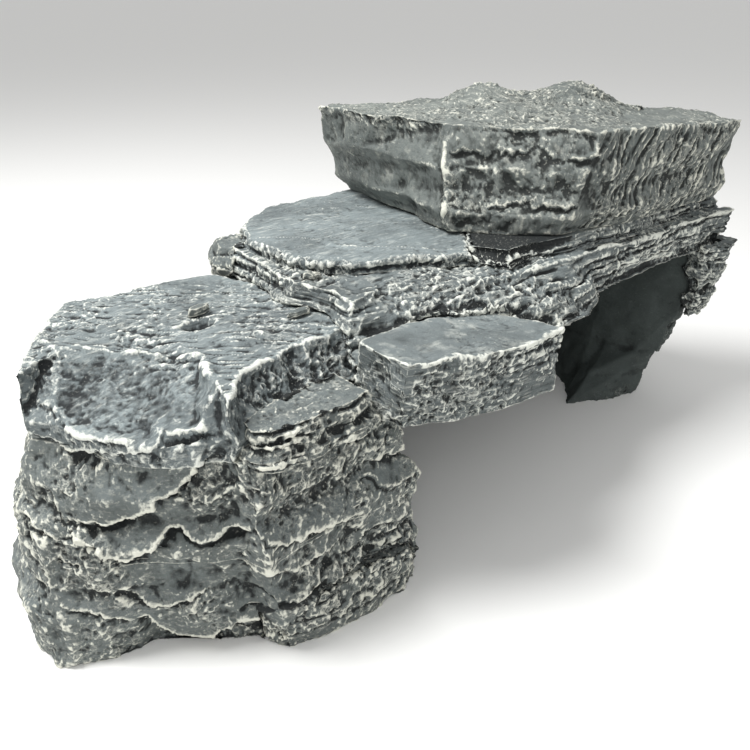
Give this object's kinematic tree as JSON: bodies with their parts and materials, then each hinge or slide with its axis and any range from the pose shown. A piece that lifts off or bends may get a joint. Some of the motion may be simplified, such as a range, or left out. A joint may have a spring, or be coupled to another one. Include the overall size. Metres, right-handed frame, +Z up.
{
  "type": "resin cave ornament",
  "caption": "Stepped resin rock ledge with a low tower, a bridging slab and a raised crown over a cave that opens on the front.",
  "frame": {"origin": "under the middle of the ornament's bounding box, on the plane it stands on", "axes": "+X along the length from the low tower to the high crown, +Z up, -Y the side with the cave mouth"},
  "size_m": [0.4436, 0.2262, 0.201],
  "materials": {
    "cast_resin_stone": "cast polyresin rock, stone-grey, crests dry-brushed off-white",
    "cast_resin_deck": "cast polyresin slate, blue-grey wash over smooth flats",
    "cast_resin_shale": "cast polyresin shale with fine split laminae, dry-brushed",
    "cast_resin_crown": "cast polyresin block, warm grey, chiselled and dry-brushed",
    "cast_resin_inner": "cast polyresin, smooth dark inner face",
    "cured_resin": "cured brush-on resin, dark and slightly glossy"
  },
  "bodies": {
    "root": {"tower_base_course": "cast_resin_stone", "tower_middle_course": "cast_resin_stone", "foot_stone": "cast_resin_stone", "niche_shelf": "cast_resin_stone", "back_knob": "cast_resin_stone", "loose_flakes": "cast_resin_stone", "tower_cap": "cast_resin_deck", "landing_slab": "cast_resin_deck", "bridge_slab": "cast_resin_shale", "ledge_block": "cast_resin_shale", "crown_seat": "cast_resin_shale", "pier_cornice": "cast_resin_shale", "crown_block": "cast_resin_crown", "crown_ridge": "cast_resin_crown", "rear_pier": "cast_resin_inner", "back_wall": "cast_resin_inner", "bond_beads": "cured_resin"}
  },
  "joints": []
}
